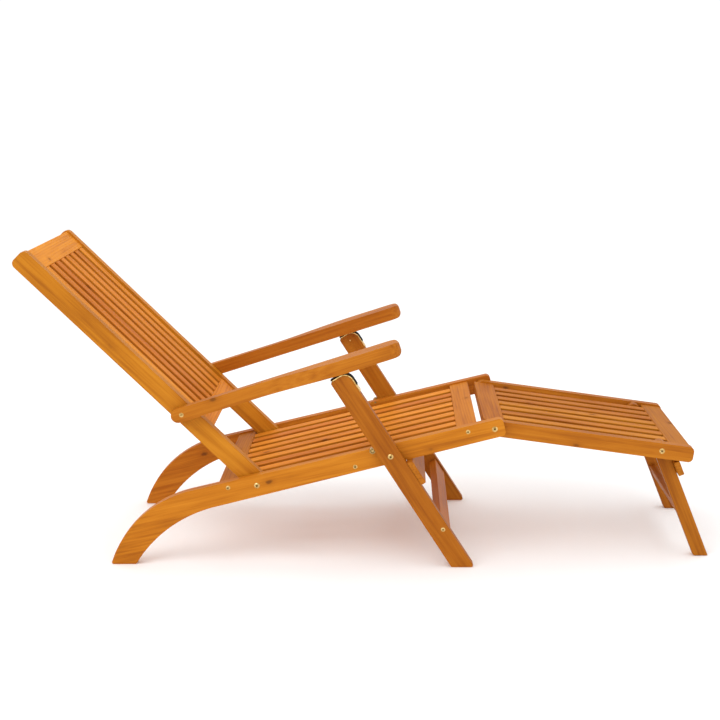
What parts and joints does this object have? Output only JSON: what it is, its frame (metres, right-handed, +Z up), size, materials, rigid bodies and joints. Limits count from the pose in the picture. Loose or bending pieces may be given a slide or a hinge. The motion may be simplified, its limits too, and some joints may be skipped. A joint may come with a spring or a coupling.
{
  "type": "folding deck lounge chair",
  "caption": "Folding hardwood deck lounge chair with slatted seat and back, hinged armrests, folding legs and a folding footrest.",
  "frame": {"origin": "on the floor at the middle of the overall length and width, in the rest pose", "axes": "+X forward from the back to the footrest, +Y to the left of a person sitting in it, +Z up"},
  "size_m": [1.7556, 0.592, 0.8005],
  "materials": {
    "frame_wood": "oiled",
    "board_wood": "oiled",
    "brass": "satin",
    "black_strip": "matte"
  },
  "bodies": {
    "seat_frame": {"rail_left": "frame_wood", "rail_right": "frame_wood", "seat_rear_board": "board_wood", "seat_front_board": "board_wood", "seat_slat_1": "board_wood", "seat_slat_2": "board_wood", "seat_slat_3": "board_wood", "seat_slat_4": "board_wood", "seat_slat_5": "board_wood", "seat_slat_6": "board_wood", "seat_slat_7": "board_wood", "seat_slat_8": "board_wood", "seat_batten": "frame_wood", "seat_bolts": "brass", "leg_stop_pins": "brass"},
    "back_pivots": {"back_pivot_bolts": "brass"},
    "back": {"back_stile_left": "frame_wood", "back_stile_right": "frame_wood", "back_top_board": "board_wood", "back_bottom_board": "board_wood", "back_slat_1": "board_wood", "back_slat_2": "board_wood", "back_slat_3": "board_wood", "back_slat_4": "board_wood", "back_slat_5": "board_wood", "back_slat_6": "board_wood", "back_slat_7": "board_wood", "back_slat_8": "board_wood"},
    "arm_pivots": {"armrest_bolts": "brass"},
    "armrests": {"armrest_left": "frame_wood", "armrest_right": "frame_wood"},
    "front_legs": {"front_leg_left": "frame_wood", "front_leg_right": "frame_wood", "leg_straps": "brass", "leg_wear_strips": "black_strip", "leg_strap_screws": "brass", "leg_stop_board": "frame_wood", "leg_crossbar": "frame_wood", "leg_pivot_bolts": "brass", "leg_crossbar_bolts": "brass"},
    "footrest": {"footrest_rail_left": "frame_wood", "footrest_rail_right": "frame_wood", "footrest_rear_board": "board_wood", "footrest_front_board": "board_wood", "footrest_slat_1": "board_wood", "footrest_slat_2": "board_wood", "footrest_slat_3": "board_wood", "footrest_slat_4": "board_wood", "footrest_slat_5": "board_wood", "footrest_slat_6": "board_wood", "footrest_slat_7": "board_wood", "footrest_pivot_bolts": "brass"},
    "footrest_legs": {"footrest_leg_left": "frame_wood", "footrest_leg_right": "frame_wood", "footrest_leg_stop_board": "frame_wood", "footrest_leg_crossbar": "frame_wood", "footrest_leg_bolts": "brass"}
  },
  "joints": [
    {"name": "back_recline", "type": "hinge", "parent": "seat_frame", "child": "back_pivots", "pos_m": [-0.2861, 0, 0.2088], "axis": [0, 1, 0], "range_deg": [0, 22]},
    {"name": "back_fold", "type": "hinge", "parent": "back_pivots", "child": "back", "pos_m": [-0.2861, 0, 0.2088], "axis": [0, 1, 0], "range_deg": [0, 84]},
    {"name": "armrest_recline", "type": "hinge", "parent": "back", "child": "arm_pivots", "pos_m": [-0.47066, 0, 0.39335], "axis": [0, 1, 0], "range_deg": [-17.1, 0]},
    {"name": "armrest_fold", "type": "hinge", "parent": "arm_pivots", "child": "armrests", "pos_m": [-0.47066, 0, 0.39335], "axis": [0, 1, 0], "range_deg": [-94.8, 0]},
    {"name": "front_legs_fold", "type": "hinge", "parent": "seat_frame", "child": "front_legs", "pos_m": [0.05234, 0, 0.29149], "axis": [0, 1, 0], "range_deg": [0, 90]},
    {"name": "footrest_fold", "type": "hinge", "parent": "seat_frame", "child": "footrest", "pos_m": [0.31392, 0, 0.35553], "axis": [0, 1, 0], "range_deg": [0, 90]},
    {"name": "footrest_legs_fold", "type": "hinge", "parent": "footrest", "child": "footrest_legs", "pos_m": [0.74162, 0, 0.29037], "axis": [0, 1, 0], "range_deg": [0, 110]}
  ],
  "couplings": [
    {"joint": "armrest_recline", "follows": "back_recline", "ratio": -0.77273},
    {"joint": "armrest_fold", "follows": "back_fold", "ratio": -1.1274}
  ]
}
